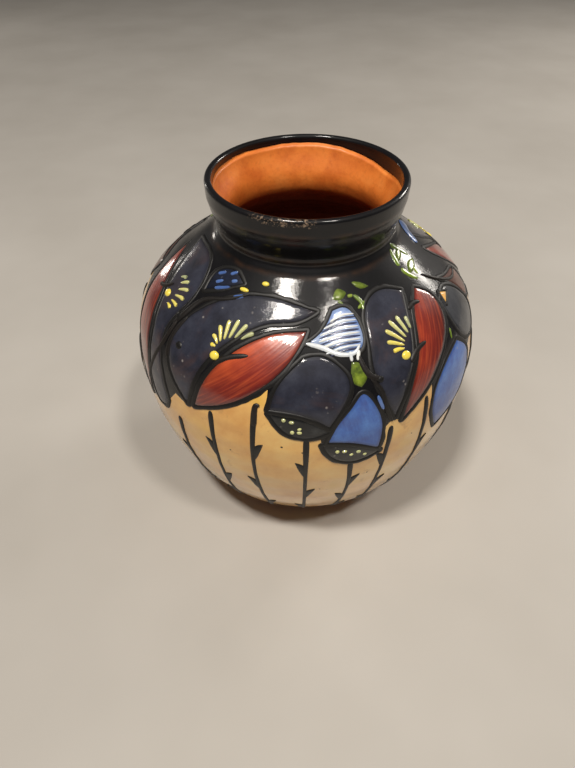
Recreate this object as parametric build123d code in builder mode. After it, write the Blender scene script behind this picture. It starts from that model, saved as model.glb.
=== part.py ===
from build123d import *
import os
from math import atan2, cos, degrees, hypot, radians, sin

# A small globe jar of red clay, thrown in one piece, with glazes laid on it in layers.
# Frame: millimetres, +Z up, the origin at the middle of the foot, on the surface that it stands on.
# A place on the outside is (azimuth, height): degrees from the front (-Y) towards +X, and mm above the foot.

# ---- driving dimensions -------------------------------------------------------------------------
RIM_RADIUS = 31.0  # over the lip
LIP_ROUND = 1.05  # radius of the rounded lip, glaze included
LIP_HEIGHT = 121.5  # height of the lip's centre circle
BELLY_RADIUS = 59.8
BELLY_HEIGHT = 62.6
NECK_RADIUS = 28.05
NECK_HEIGHT = 107.2
NECK_WALL = 2.6  # thickness of the clay at the neck
FOOT_RADIUS = 33.0
FOOT_EDGE = 1.2  # width of the foot's bevelled edge
RECESS_RADIUS = 24.0  # shallow turned hollow under the foot
RECESS_DEPTH = 1.0
FLOOR = 6.5  # height of the clay floor inside
WALL = 4.6  # thickness of the clay wall at the belly

GROUND = 0.35  # thickness of the black and cream ground coats
LINING = 0.25  # thickness of the clear glaze inside
FIELD = 0.40  # thickness of the pooled colour fields and slip lines on the ground coats
STROKE = 0.35  # thickness of the strokes on top of the fields
STROKE_BED = 0.02  # clearance between a stroke and the field under it
LAP_DEPTH = 2.6  # how far the black coat laps down inside the lip
BLACK_EDGE = 72.0  # height where the black coat stops and the cream begins
CREAM_EDGE = 4.5  # height where the cream coat stops above the foot
STAMEN_WIDTH = 1.15
DOT_LENGTH = 2.5  # the yellow dot beside each group of stamens
DOT_WIDTH = 2.0
STEM_WIDTH = 1.5
THORN = 2.0  # how far a thorn stands out beside its stem
REACH = 16.0  # how far an outline is carried through the skin, both ways
SAMPLES = 26  # steps that carry a wall's curve when it is offset
SPRAYS = {"front": 0, "back": 178}  # the painted spray comes twice round the pot, at these azimuths

LIP_CENTRE = RIM_RADIUS - LIP_ROUND
CLAY_LIP = LIP_ROUND - GROUND
LAP_HEIGHT = LIP_HEIGHT - LAP_DEPTH

os.makedirs("parts", exist_ok=True)

# ---- the walls as curves, radius against height --------------------------------------------------
outer_wall = Spline(
    (FOOT_RADIUS, 0),
    (45.0, 12.8),
    (54.2, 31.5),
    (BELLY_RADIUS, BELLY_HEIGHT),
    (54.5, 84.0),
    (40.5, 96.7),
    (32.0, 102.9),
    (NECK_RADIUS, NECK_HEIGHT),
    (29.8, 112.5),
    (RIM_RADIUS, LIP_HEIGHT),
    tangents=((0.72, 0.7), (0, 1)),
)
inner_wall = Spline(
    (LIP_CENTRE - CLAY_LIP, LIP_HEIGHT),
    (28.2, 116.5),
    (NECK_RADIUS - NECK_WALL, NECK_HEIGHT + 1.0),
    (29.5, 100.2),
    (48.0, 84.8),
    (BELLY_RADIUS - WALL, BELLY_HEIGHT),
    (49.5, 31.5),
    (38.0, 12.5),
    (25.0, FLOOR),
    tangents=((0, -1), (-1, 0)),
)


def beside(wall, distance):
    """Points of a wall's curve moved by a distance out of the clay, into the open."""
    points = []
    for step in range(SAMPLES + 1):
        place = wall @ (step / SAMPLES)
        along = wall % (step / SAMPLES)
        points.append((place.X + along.Y * distance, place.Y - along.X * distance))
    return points


def export(piece, name):
    """Labels a finished piece and writes it under the same name."""
    piece.label = name
    export_step(piece, f"parts/{name}.step")


def skin(wall, low_offset, high_offset):
    """A round shell along a wall, between two distances out of the wall's curve."""
    with BuildPart() as shell:
        with BuildSketch(Plane.XZ):
            with BuildLine():
                under = Spline(*beside(wall, low_offset))
                over = Spline(*beside(wall, high_offset))
                Line(under @ 0, over @ 0)
                Line(under @ 1, over @ 1)
            make_face()
        revolve(axis=Axis.Z)
    return shell.part


def on_pot(azimuth, height):
    """The point of the ground coat's surface at a place."""
    low, high = 0.0, 1.0
    while high - low > 1e-7:
        middle = (low + high) / 2
        if (outer_wall @ middle).Y < height:
            low = middle
        else:
            high = middle
    radius = (outer_wall @ low).X
    return Vector(radius * sin(radians(azimuth)), -radius * cos(radians(azimuth)), height)


def plane_at(azimuth, height):
    """The plane that touches the pot at a place, with x towards a larger azimuth."""
    here = on_pot(azimuth, height)
    up = on_pot(azimuth, height + 0.5) - on_pot(azimuth, height - 0.5)
    side = Vector(cos(radians(azimuth)), sin(radians(azimuth)), 0)
    return Plane(origin=here, x_dir=side, z_dir=side.cross(up))


def middle_plane(places):
    """The plane that touches the pot in the middle of some places."""
    azimuths = [place[0] for place in places]
    heights = [place[1] for place in places]
    return plane_at((min(azimuths) + max(azimuths)) / 2, (min(heights) + max(heights)) / 2)


def flat(plane, places):
    """Places of the pot as points of a sketch on a plane."""
    points = [plane.to_local_coords(on_pot(azimuth, height)) for azimuth, height in places]
    return [(point.X, point.Y) for point in points]


def field(*edges):
    """A pooled field on a ground coat, inside smooth edges through places, which run on from each other."""
    plane = middle_plane([place for edge in edges for place in edge])
    with BuildPart() as patch:
        with BuildSketch(plane):
            with BuildLine():
                for edge in edges:
                    Spline(*flat(plane, edge))
            make_face()
        extrude(amount=REACH, both=True)
        add(field_layer, mode=Mode.INTERSECT)
    return patch.part


def fan(strokes, dot):
    """Short round-ended strokes on a field, between pairs of places, and one bigger dot."""
    plane = middle_plane([place for stroke in strokes for place in stroke])
    with BuildPart() as group:
        with BuildSketch(plane):
            for stroke in strokes:
                (x0, y0), (x1, y1) = flat(plane, stroke)
                with Locations(((x0 + x1) / 2, (y0 + y1) / 2)):
                    angle = degrees(atan2(y1 - y0, x1 - x0))
                    SlotCenterToCenter(hypot(x1 - x0, y1 - y0), STAMEN_WIDTH, rotation=angle)
            with Locations(*flat(plane, [dot])):
                Ellipse(DOT_LENGTH / 2, DOT_WIDTH / 2)
        extrude(amount=REACH, both=True)
        add(stroke_layer, mode=Mode.INTERSECT)
    return group.part


def stem(route, thorns):
    """A slip-trailed stem down the pot through places, with pointed thorns: (share of its length, side)."""
    plane = middle_plane(route)
    line = flat(plane, route)
    middle = Spline(*line)
    half = STEM_WIDTH / 2
    with BuildPart() as trail:
        with BuildSketch(plane):
            with BuildLine():
                left = Spline(*[(x - half, y) for x, y in line])
                right = Spline(*[(x + half, y) for x, y in line])
                Line(left @ 0, right @ 0)
                Line(left @ 1, right @ 1)
            make_face()
            for share, side in thorns:
                x, y = (middle @ share).X, (middle @ share).Y
                with BuildLine():
                    Polyline((x, y + THORN), (x + side * (half + THORN), y), (x, y - half), close=True)
                make_face()
        extrude(amount=REACH, both=True)
        add(field_layer, mode=Mode.INTERSECT)
    return trail.part


# ---- clay ---------------------------------------------------------------------------------------
with BuildPart() as clay_body:
    with BuildSketch(Plane.XZ):
        with BuildLine():
            outside = Spline(*beside(outer_wall, -GROUND))
            inside = Spline(*beside(inner_wall, 0))
            ThreePointArc(outside @ 1, (LIP_CENTRE, LIP_HEIGHT + CLAY_LIP), inside @ 0)
            floor = Line(inside @ 1, (0, FLOOR))
            centre = Line(floor @ 1, (0, RECESS_DEPTH))
            hollow = Line(centre @ 1, (RECESS_RADIUS, RECESS_DEPTH))
            step = Line(hollow @ 1, (RECESS_RADIUS + RECESS_DEPTH, 0))
            rest = Line(step @ 1, (FOOT_RADIUS - FOOT_EDGE, 0))
            Line(rest @ 1, outside @ 0)
        make_face()
    revolve(axis=Axis.Z)
export(clay_body.part, "clay_body")

# ---- clear lining -------------------------------------------------------------------------------
with BuildPart() as interior_clear_glaze:
    add(skin(inner_wall, 0, LINING))
    split(bisect_by=Plane.XY.offset(LAP_HEIGHT), keep=Keep.BOTTOM)
    with BuildSketch(Plane.XY.offset(FLOOR)):
        Circle((inner_wall @ 1).X)
    extrude(amount=LINING)
export(interior_clear_glaze.part, "interior_clear_glaze")

# ---- ground coats -------------------------------------------------------------------------------
outer_coat = skin(outer_wall, -GROUND, 0)

with BuildPart() as black_glaze_coat:
    add(outer_coat)
    split(bisect_by=Plane.XY.offset(BLACK_EDGE), keep=Keep.TOP)
    with BuildSketch(Plane.XZ):
        with Locations((LIP_CENTRE, LIP_HEIGHT)):
            Circle(LIP_ROUND)
            Circle(CLAY_LIP, mode=Mode.SUBTRACT)
            Rectangle(4 * LIP_ROUND, 2 * LIP_ROUND, align=(Align.CENTER, Align.MAX), mode=Mode.SUBTRACT)
    revolve(axis=Axis.Z)
with BuildPart() as lip_lap:
    add(skin(inner_wall, 0, GROUND))
    split(bisect_by=Plane.XY.offset(LAP_HEIGHT), keep=Keep.TOP)
with black_glaze_coat:
    add(lip_lap.part)
export(black_glaze_coat.part, "black_glaze_coat")

with BuildPart() as cream_ground_coat:
    add(outer_coat)
    split(bisect_by=Plane.XY.offset(BLACK_EDGE), keep=Keep.BOTTOM)
    split(bisect_by=Plane.XY.offset(CREAM_EDGE), keep=Keep.TOP)
export(cream_ground_coat.part, "cream_ground_coat")

# ---- the painted sprays -------------------------------------------------------------------------
field_layer = skin(outer_wall, 0, FIELD)
stroke_layer = skin(outer_wall, FIELD + STROKE_BED, FIELD + STROKE)

# Outlines as places. Where two curves of an outline meet, the field has a point.
FIELDS = {
    "red_petal_left": (
        [(-60, 60), (-62, 76), (-68, 86.5), (-79, 93.5), (-93, 98)],
        [(-93, 98), (-84, 88), (-73, 76), (-60, 60)],
    ),
    "navy_petal_left": (
        [(-48, 66), (-53, 79), (-56, 88), (-54, 95), (-60, 101), (-74, 102.5), (-88, 101.5)],
        [(-88, 101.5), (-77, 95.7), (-66, 88), (-60, 77), (-57.5, 66), (-54, 61)],
        [(-54, 61), (-50, 62), (-48, 66)],
    ),
    "navy_petal_middle": (
        [(-38.5, 70.5), (-47, 78), (-51, 85.5), (-47.5, 93.5), (-38, 98), (-20, 100.5), (3.5, 98.5)],
        [(3.5, 98.5), (-4, 96.8), (-17, 95.6), (-27, 92), (-34.5, 85), (-38.5, 70.5)],
    ),
    "red_petal_middle": (
        [(-36, 71), (-33, 81.5), (-24.5, 90.5), (-14, 94.2), (-1, 95.2)],
        [(-1, 95.2), (-7, 89), (-16, 82), (-27, 75), (-36, 71)],
    ),
    "navy_bell": (
        [(-2.5, 90.3), (3, 90.8), (8, 89.2), (12, 85), (9.5, 78.5), (5.5, 72)],
        [(5.5, 72), (0, 75.6), (-6, 77.2), (-12, 77.5)],
        [(-12, 77.5), (-10, 84), (-2.5, 90.3)],
    ),
    "navy_bell_mouth": (
        [(-12, 76.5), (-6, 76.2), (0, 74.6), (5.5, 71)],
        [(5.5, 71), (0, 68.8), (-7, 70.5), (-12, 76.5)],
    ),
    "blue_bell": (
        [(20.8, 60), (21.6, 69), (19, 78), (15.5, 81.5), (12.5, 79), (8, 73.5), (5, 66.5)],
        [(5, 66.5), (12, 65), (20.8, 60)],
    ),
    "blue_bell_mouth": (
        [(3.5, 65.5), (12, 64), (21.5, 58.4)],
        [(21.5, 58.4), (13, 56), (7, 59), (3.5, 65.5)],
    ),
    "pale_calyx": (
        [(9.5, 98.5), (15.5, 98.8), (19.5, 95.8), (16.8, 90.8), (10.5, 91), (4, 92.6), (-1.5, 93)],
        [(-1.5, 93), (5, 95.5), (9.5, 98.5)],
    ),
    "dark_calyx": (
        [(-51.5, 97.2), (-52, 101.5), (-43, 103), (-33.5, 101.5)],
        [(-33.5, 101.5), (-42, 99.5), (-51.5, 97.2)],
    ),
    "navy_petal_right": (
        [(25.5, 71), (22, 79), (20, 86), (21, 92), (24.5, 98), (35, 100), (46, 98)],
        [(46, 98), (40.5, 93.5), (36.3, 88), (31, 81), (25.5, 71)],
    ),
    "red_petal_right": (
        [(28, 69), (32.5, 80), (38.5, 87.5), (43.5, 93), (53, 97)],
        [(53, 97), (58.5, 94), (56.5, 89), (49, 84), (39, 77), (28, 69)],
    ),
    "blue_petal": (
        [(44, 56), (40.5, 66), (42, 74.5), (49, 80), (56.5, 82)],
        [(56.5, 82), (63, 75), (61, 64), (53, 58), (44, 56)],
    ),
    "grey_petal": (
        [(60, 91.5), (68, 92.5), (76, 88), (77, 81), (69, 77.5), (62.5, 80), (59, 85.5), (60, 91.5)],
    ),
}
FANS = {
    "stamens_left": (
        [
            ((-65, 90), (-60, 90.5)),
            ((-65.5, 92), (-56.5, 92.3)),
            ((-66.5, 93.7), (-56, 94.2)),
            ((-68, 95.2), (-58, 96)),
            ((-70, 96.7), (-62, 97.6)),
        ],
        (-67, 87.6),
    ),
    "stamens_middle": (
        [
            ((-32, 88.7), (-35.5, 89.6)),
            ((-32, 90.2), (-37, 91.6)),
            ((-31, 91.3), (-35, 94)),
            ((-29.5, 91.8), (-31, 95)),
            ((-27.5, 92.3), (-27, 95.6)),
            ((-25, 93), (-23, 95.8)),
        ],
        (-33.5, 86.6),
    ),
    "stamens_right": (
        [
            ((34, 88.4), (31, 89.4)),
            ((35, 89.8), (29.5, 92)),
            ((35.5, 91.2), (28, 94.5)),
            ((36.5, 92.5), (31.5, 96)),
            ((38, 93.5), (36, 97)),
        ],
        (33, 86.8),
    ),
}
LEAVES = {
    "leaf_by_calyx": ([(10, 100.3), (14, 102.2), (18.5, 101.2)], [(18.5, 101.2), (14.5, 100), (10, 100.3)]),
    "leaf_by_petal": ([(21, 103), (26, 102.6), (31, 101.2)], [(31, 101.2), (26, 101.1), (21, 103)]),
    "leaf_upper": ([(55, 102.2), (61, 104), (68, 103.8)], [(68, 103.8), (62, 102.3), (55, 102.2)]),
    "leaf_lower": ([(56, 99.2), (62, 101), (69, 100.4)], [(69, 100.4), (63, 99), (56, 99.2)]),
    "bell_stalk": ([(13.2, 89), (16, 88.7), (17.6, 85), (15.3, 83)], [(15.3, 83), (13, 84.2), (13.2, 89)]),
}
# Each stem: its route down the pot, and its thorns as (share of its length, side).
STEMS = (
    ([(-43, 62), (-43, 40), (-42, 14)], [(0.29, -1), (0.67, 1)]),
    ([(-30, 70), (-29.5, 44), (-29, 12)], [(0.32, -1), (0.63, 1), (0.83, -1)]),
    ([(-17, 77), (-15, 64), (-14, 44), (-15, 9)], [(0.32, 1), (0.54, 1), (0.78, -1)]),
    ([(-1, 67.5), (0, 52), (-1, 9)], [(0.21, -1), (0.44, 1), (0.64, -1)]),
    ([(13, 54.5), (11, 36), (13, 9)], [(0.16, 1), (0.47, 1), (0.78, -1)]),
    ([(24.5, 66), (25, 50), (25, 10)], [(0.23, -1), (0.54, 1), (0.79, -1)]),
    ([(36.5, 70), (36, 50), (36, 12)], [(0.45, 1), (0.74, -1)]),
    ([(55, 56), (54, 40), (53, 12)], [(0.23, -1), (0.59, 1)]),
    ([(72, 74), (71, 50), (70, 12)], [(0.26, 1), (0.55, -1), (0.81, 1)]),
    ([(90, 70), (89, 50), (88, 12)], [(0.31, -1), (0.62, 1)]),
    ([(108, 70), (108, 50), (107, 12)], [(0.24, 1), (0.55, -1), (0.83, 1)]),
)

pieces = {}
for name, edges in FIELDS.items():
    pieces[name] = field(*edges)
for name, (strokes, dot) in FANS.items():
    pieces[name] = fan(strokes, dot)
with BuildPart() as green_leaves:
    for edges in LEAVES.values():
        add(field(*edges))
pieces["green_leaves"] = green_leaves.part
with BuildPart() as stems:
    for route, thorns in STEMS:
        add(stem(route, thorns))
pieces["stems"] = stems.part

for spray, turn in SPRAYS.items():
    for name, piece in pieces.items():
        export(piece.rotate(Axis.Z, turn), f"{spray}_{name}")
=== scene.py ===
from math import cos, pi, radians, sin

import bpy
import numpy as np
from mathutils import Matrix, Vector, noise
from mathutils.geometry import delaunay_2d_cdt


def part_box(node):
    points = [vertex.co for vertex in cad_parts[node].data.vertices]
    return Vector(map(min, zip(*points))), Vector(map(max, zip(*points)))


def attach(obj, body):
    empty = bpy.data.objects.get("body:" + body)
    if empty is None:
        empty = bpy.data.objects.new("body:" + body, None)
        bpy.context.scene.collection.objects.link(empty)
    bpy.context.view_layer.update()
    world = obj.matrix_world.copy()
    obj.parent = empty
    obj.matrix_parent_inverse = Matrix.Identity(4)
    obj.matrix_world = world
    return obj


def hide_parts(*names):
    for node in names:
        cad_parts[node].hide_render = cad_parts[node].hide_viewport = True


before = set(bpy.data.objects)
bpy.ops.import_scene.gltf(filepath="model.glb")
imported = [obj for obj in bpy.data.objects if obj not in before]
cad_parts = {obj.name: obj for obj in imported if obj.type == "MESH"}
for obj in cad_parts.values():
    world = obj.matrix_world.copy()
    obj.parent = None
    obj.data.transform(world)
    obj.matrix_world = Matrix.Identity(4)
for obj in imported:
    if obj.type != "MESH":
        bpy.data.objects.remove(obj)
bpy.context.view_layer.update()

# A place on the pot is (azimuth, height): degrees from the front (-Y) towards +X, and mm above the foot.
# A spot is the same place as (azimuth in radians, arc length in mm up the wall), which skins are cut in.
MM = 0.001
GROUND = 0.35  # thickness of the black and cream coats
FIELD = 0.30  # height of a pooled field over its ground coat
SLIP = 0.36  # height of the slip-trailed outlines
OUTLINE_WIDTH = 1.25  # how far the slip-trailed outlines reach out from a field's edge
OVERLAP = 0.35  # how far they lie over the field
SINK = 0.03  # how far the edges of fields and strokes sink into what they lie on
STAMEN = 0.42  # height of the stamen strokes and the stems
THORN = ((3.3, 0.9), (1.5, -1.3), (0.2, -7.5))  # its tip, shoulder and root, in mm beside and above its place
BACK_TURN = 178.0  # the spray comes again behind, turned by this
LIP_ROUND = 1.05
RIM, NECK, FOOT = 31.0, 28.05, 33.0  # radii over the lip, at the neck and at the foot
BELLY_HEIGHT, NECK_HEIGHT = 62.6, 107.2
BELLY_WALL, NECK_WALL = 4.6, 2.6  # thicknesses of the clay
FLOOR = 6.5  # height of the clay floor inside
RECESS, RECESS_RADIUS = 1.0, 24.0  # the shallow hollow turned under the foot
LINING = 0.25  # thickness of the clear glaze inside
AXIS = 0.05  # radius of the rings that stand in for a point on the axis
SHORTEST = 1e-9  # keeps a division from meeting zero
# The cross-section of a bead, as (across, rise): from edge to edge over its rounded top.
BEAD = ((-1.0, 0.0), (-0.8, 0.6), (-0.42, 0.91), (0.0, 1.0), (0.42, 0.91), (0.8, 0.6), (1.0, 0.0))
OUTLINE_BEAD = ((-1.0, 0.0), (-0.86, 0.55), (-0.45, 0.92), (0.0, 1.0), (0.45, 0.92), (0.84, 0.6), (1.0, 0.0))


# ---- curves ----
def smooth_curve(points, steps, ends=None):
    """A cubic spline through points, evenly divided. ends gives its two end tangents, or they are free."""
    p = np.array(points, float)
    t = np.r_[0, np.cumsum(np.linalg.norm(np.diff(p, axis=0), axis=1))]
    count, h = len(p), np.diff(t)
    system = np.zeros((count, count))
    right = np.zeros((count, p.shape[1]))
    slope = np.diff(p, axis=0) / h[:, None]
    for i in range(1, count - 1):
        system[i, i - 1 : i + 2] = h[i - 1], 2 * (h[i - 1] + h[i]), h[i]
        right[i] = 6 * (slope[i] - slope[i - 1])
    system[0, 0] = system[-1, -1] = 1
    if ends is not None:
        system[0, :2] = 2 * h[0], h[0]
        system[-1, -2:] = h[-1], 2 * h[-1]
        right[0] = 6 * (slope[0] - np.array(ends[0]))
        right[-1] = 6 * (np.array(ends[1]) - slope[-1])
    bend = np.linalg.solve(system, right)
    s = np.linspace(0, t[-1], steps)
    i = np.clip(np.searchsorted(t, s, side="right") - 1, 0, count - 2)
    a, b, w = (t[i + 1] - s)[:, None], (s - t[i])[:, None], h[i][:, None]
    return (
        bend[i] * a**3 / (6 * w)
        + bend[i + 1] * b**3 / (6 * w)
        + (p[i] / w - bend[i] * w / 6) * a
        + (p[i + 1] / w - bend[i + 1] * w / 6) * b
    )


def evenly(points, spacing):
    """The same line with points at an even spacing."""
    p = np.array(points, float)
    t = np.r_[0, np.cumsum(np.linalg.norm(np.diff(p, axis=0), axis=1))]
    s = np.linspace(0, t[-1], max(3, int(round(t[-1] / spacing)) + 1))
    return np.stack([np.interp(s, t, p[:, k]) for k in range(p.shape[1])], axis=1)


class Wall:
    """A wall of the pot, as a curve of radius against height, with its arc length and outward normal."""

    def __init__(self, points, ends):
        line = evenly(smooth_curve(points, 4000, ends), 0.1)
        self.radius, self.height = line[:, 0], line[:, 1]
        along = np.gradient(line, axis=0)
        along /= np.linalg.norm(along, axis=1)[:, None]
        self.out, self.up = along[:, 1], -along[:, 0]
        self.s = np.r_[0, np.cumsum(np.linalg.norm(np.diff(line, axis=0), axis=1))]

    def at(self, s):
        return [np.interp(s, self.s, v) for v in (self.radius, self.height, self.out, self.up)]

    def s_of(self, height):
        order = 1 if self.height[-1] > self.height[0] else -1
        return np.interp(height, self.height[::order], self.s[::order])


def half_width(node):
    low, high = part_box(node)
    return (high.x - low.x) / 2 / MM


BELLY = half_width("cream_ground_coat")
POT_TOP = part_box("black_glaze_coat")[1].z / MM
LIP_HEIGHT = POT_TOP - LIP_ROUND
LIP_CENTRE = RIM - LIP_ROUND
outer = Wall(
    [(FOOT, 0), (45.0, 12.8), (54.2, 31.5), (BELLY, BELLY_HEIGHT), (54.5, 84.0), (40.5, 96.7), (32.0, 102.9)]
    + [(NECK, NECK_HEIGHT), (29.8, 112.5), (RIM, LIP_HEIGHT)],
    ((0.72, 0.7), (0, 1)),
)
inner = Wall(
    [(LIP_CENTRE - LIP_ROUND + GROUND, LIP_HEIGHT), (28.2, 116.5), (NECK - NECK_WALL, NECK_HEIGHT + 1)]
    + [(29.5, 100.2), (48.0, 84.8), (BELLY - BELLY_WALL, BELLY_HEIGHT), (49.5, 31.5), (38.0, 12.5)]
    + [(25.0, FLOOR)],
    ((0, -1), (-1, 0)),
)


def hand(azimuth, height):
    """How far the hand-thrown wall strays from true, in mm: a little out of round, with faint rings."""
    drift = 0.10 * np.sin(2 * azimuth + 0.03 * height + 0.6)
    drift += 0.06 * np.sin(3 * azimuth - 0.05 * height)
    rings = 0.035 * np.sin(height * 0.83 + 0.8 * np.sin(azimuth + 0.4))
    rings += 0.03 * np.sin(height * 0.41 + 1.0)
    return drift + rings


def on_wall(wall, azimuth, s, lift):
    """Points in metres, at spots of a wall, lifted off it by so many mm."""
    radius, height, out, up = wall.at(s)
    r = radius + lift * out + hand(azimuth, height)
    z = height + lift * up
    return np.stack([r * np.sin(azimuth), -r * np.cos(azimuth), z], axis=-1) * MM


def spots(places):
    """Places as spots on the outer wall."""
    p = np.array(places, float)
    return np.stack([np.radians(p[:, 0]), outer.s_of(p[:, 1])], axis=1)


def metric(line, centre):
    """Spots as flat mm coordinates about a centre spot, true near it."""
    return np.stack([(line[:, 0] - centre[0]) * outer.at(centre[1])[0], line[:, 1] - centre[1]], axis=1)


def unmetric(flat, centre):
    return np.stack([flat[:, 0] / outer.at(centre[1])[0] + centre[0], flat[:, 1] + centre[1]], axis=1)


# ---- mesh building ----
def new_piece(name, points, faces, slot, *nodes):
    """A smooth mesh that rides on the pot, and takes the place of the CAD nodes named."""
    mesh = bpy.data.meshes.new(name)
    mesh.from_pydata([tuple(p) for p in points], [], [tuple(int(i) for i in f) for f in faces])
    mesh.validate()
    mesh.shade_smooth()
    piece = bpy.data.objects.new(name, mesh)
    bpy.context.scene.collection.objects.link(piece)
    mesh.materials.append(MATERIALS[slot])
    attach(piece, "root")
    if nodes:
        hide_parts(*nodes)
    return piece


def attribute(piece, name, values):
    layer = piece.data.attributes.new(name, "FLOAT", "POINT")
    layer.data.foreach_set("value", np.ascontiguousarray(values, dtype=np.float32))


def uv_map(piece, coords):
    """Lays a UV map from one coordinate pair per vertex."""
    layer = piece.data.uv_layers.new(name="paint")
    index = np.zeros(len(piece.data.loops), np.int32)
    piece.data.loops.foreach_get("vertex_index", index)
    layer.data.foreach_set("uv", np.ascontiguousarray(np.array(coords)[index], dtype=np.float32).ravel())


def grid_faces(rows, columns, closed=False):
    """Quads of a grid of points, row after row."""
    faces = []
    for i in range(rows - 1):
        for j in range(columns if closed else columns - 1):
            k = (j + 1) % columns
            a, b = i * columns, (i + 1) * columns
            faces.append((a + j, a + k, b + k, b + j))
    return faces


def ripple(values, seed, size):
    """Smooth repeatable noise from -1 to 1 along a number line, features about size long."""
    return np.array([noise.noise(Vector((v / size, seed * 7.31, 0.37))) for v in np.atleast_1d(values)])


def ripple_3d(points, seed, size):
    shift = Vector((seed * 3.7, seed * 1.3, seed * 5.1))
    return np.array([noise.noise(Vector(p) / (size * MM) + shift) for p in points])


# ---- outlines ----
def outline(edges, turn, spacing=0.45):
    """The closed line of a field in flat mm coordinates, and its centre spot. Each edge is a smooth curve."""
    centre = spots([place for edge in edges for place in edge]).mean(axis=0)
    line = []
    for edge in edges:
        flat = metric(spots(edge), centre)
        curve = evenly(smooth_curve(flat, 200) if len(edge) > 2 else flat, spacing)
        line.extend(curve[:-1])
    centre = centre + np.array([radians(turn), 0.0])
    return np.array(line), centre


def loop_normals(line):
    """Unit normals out of a closed line, which runs either way round."""
    along = np.roll(line, -1, axis=0) - np.roll(line, 1, axis=0)
    along /= np.linalg.norm(along, axis=1)[:, None] + SHORTEST
    area = 0.5 * np.sum(line[:, 0] * np.roll(line[:, 1], -1) - np.roll(line[:, 0], -1) * line[:, 1])
    side = 1 if area > 0 else -1
    return np.stack([along[:, 1], -along[:, 0]], axis=1) * side


def round_corners(line, normals, limit=0.45):
    """Adds fans of points at corners sharper than a limit in radians, so that a band round has no gap."""
    out_line, out_normals = [], []
    count = len(line)
    for i in range(count):
        before, after = line[i] - line[i - 1], line[(i + 1) % count] - line[i]
        turn = np.arctan2(before[0] * after[1] - before[1] * after[0], before @ after)
        if abs(turn) > limit:
            for k in np.linspace(0, 1, 7):
                n = normals[i - 1] * (1 - k) + normals[(i + 1) % count] * k
                size = np.linalg.norm(n)
                out_line.append(line[i])
                out_normals.append(normals[i] if size < 0.2 else n / size)
        else:
            out_line.append(line[i])
            out_normals.append(normals[i])
    return np.array(out_line), np.array(out_normals)


def boundary_distance(points, line):
    """Distance of flat points to a closed flat line."""
    a, b = line, np.roll(line, -1, axis=0)
    d = b - a
    best = np.full(len(points), 1e9)
    for start in range(0, len(points), 2000):
        p = points[start : start + 2000, None]
        t = np.clip(((p - a) * d).sum(2) / ((d * d).sum(1) + 1e-12), 0, 1)
        gap = np.linalg.norm(p - a - t[..., None] * d, axis=2)
        best[start : start + 2000] = gap.min(1)
    return best


def inside(points, line):
    """Which flat points lie inside a closed flat line."""
    x, y = points[:, 0], points[:, 1]
    result = np.zeros(len(points), bool)
    x0, y0 = line[-1]
    for x1, y1 in line:
        crosses = (y0 > y) != (y1 > y)
        with np.errstate(divide="ignore", invalid="ignore"):
            result ^= crosses & (x < (x1 - x0) * (y - y0) / (y1 - y0) + x0)
        x0, y0 = x1, y1
    return result


def fill(line, spacing):
    """Points and triangles that fill a closed flat line, its own points first."""
    low, high = line.min(axis=0), line.max(axis=0)
    rows = np.arange(low[1], high[1], spacing * 0.87)
    grid = np.array(
        [
            (x + (spacing / 2 if k % 2 else 0), y)
            for k, y in enumerate(rows)
            for x in np.arange(low[0], high[0] + spacing, spacing)
        ]
    )
    grid = grid[inside(grid, line)]
    grid = grid[boundary_distance(grid, line) > spacing * 0.45]
    points = np.vstack([line, grid]) if len(grid) else line
    edges = [(i, (i + 1) % len(line)) for i in range(len(line))]
    vectors, _, faces, *_ = delaunay_2d_cdt([Vector(p) for p in points], edges, [], 1, 1e-5)
    return np.array([tuple(v) for v in vectors]), [tuple(f) for f in faces]


def pool(name, edges, slot, turn, axis, *nodes, height=FIELD, spacing=0.7, seed=1):
    """A pooled glaze field: a low dome inside its outline, with a soft rim and a little unevenness.
    axis is the (start, end) places of the brush strokes, for the field's paint coordinates."""
    line, centre = outline(edges, turn)
    flat, faces = fill(line, spacing)
    edge = boundary_distance(flat, line)
    rise = np.clip(edge / 0.9, 0, 1)
    rise = np.sin(rise * pi / 2) ** 0.8
    where = unmetric(flat, centre)
    uneven = 0.05 * ripple_3d(on_wall(outer, *where.T, 0), seed, 5.0)
    lift = SINK + (height - SINK) * rise + uneven * rise
    points = on_wall(outer, *where.T, lift)
    faces = face_outwards(points, faces)
    piece = new_piece(name, points, faces, slot, *nodes)
    start, end = metric(spots(axis) + np.array([radians(turn), 0]), centre)
    along = end - start
    length = np.linalg.norm(along)
    along /= length
    across = np.array([-along[1], along[0]])
    u = (flat - start) @ along / length
    v = (flat - start) @ across / length
    uv_map(piece, np.stack([u, v], axis=1))
    attribute(piece, "edge", edge)
    return piece


def face_outwards(points, faces):
    """Turns faces so that they look away from the pot's axis and upwards with its wall."""
    turned = []
    for f in faces:
        a, b, c = (points[i] for i in f[:3])
        n = np.cross(b - a, c - a)
        middle = (a + b + c) / 3
        away = np.array([middle[0], middle[1], 0.02])
        turned.append(f if n @ away >= 0 else f[::-1])
    return turned


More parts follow.
